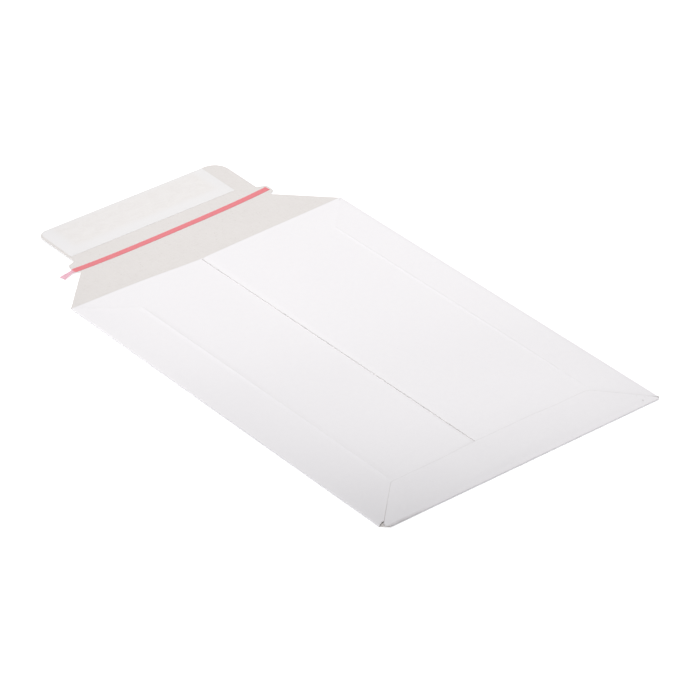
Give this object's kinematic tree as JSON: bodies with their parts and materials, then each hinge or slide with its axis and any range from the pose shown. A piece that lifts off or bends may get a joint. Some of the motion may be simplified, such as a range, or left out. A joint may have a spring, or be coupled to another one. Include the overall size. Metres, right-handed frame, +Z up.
{
  "type": "cardboard envelope",
  "caption": "Flat board mailing envelope with side panels lapped at a seam, a glued bottom flap and an open closing flap with tear strip and peel-off liner.",
  "frame": {"origin": "centre of the pocket's underside, on the surface that the envelope lies on", "axes": "+Z up out of the seam side, +Y towards the mouth and the closing flap, +X to the right seen from above with the mouth at the top"},
  "size_m": [0.25, 0.453, 0.0035],
  "materials": {
    "white_board": "white coated outside, satin",
    "grey_board": "uncoated recycled grey inside, matt",
    "tear_film": "thin red film tape",
    "liner_paper": "silicone-coated white paper, slightly wrinkled",
    "adhesive": "set hot-melt, dull"
  },
  "bodies": {
    "pocket_body": {"pocket": "white_board", "seam_glue": "adhesive", "bottom_glue": "adhesive"},
    "flap_body": {"closing_flap": "grey_board", "tear_strip": "tear_film", "closing_adhesive": "adhesive", "release_liner": "liner_paper"}
  },
  "joints": [
    {"name": "closing_hinge", "type": "hinge", "parent": "pocket_body", "child": "flap_body", "pos_m": [0, 0.178, 0.00165], "axis": [1, 0, 0], "range_deg": [0, 178]}
  ]
}
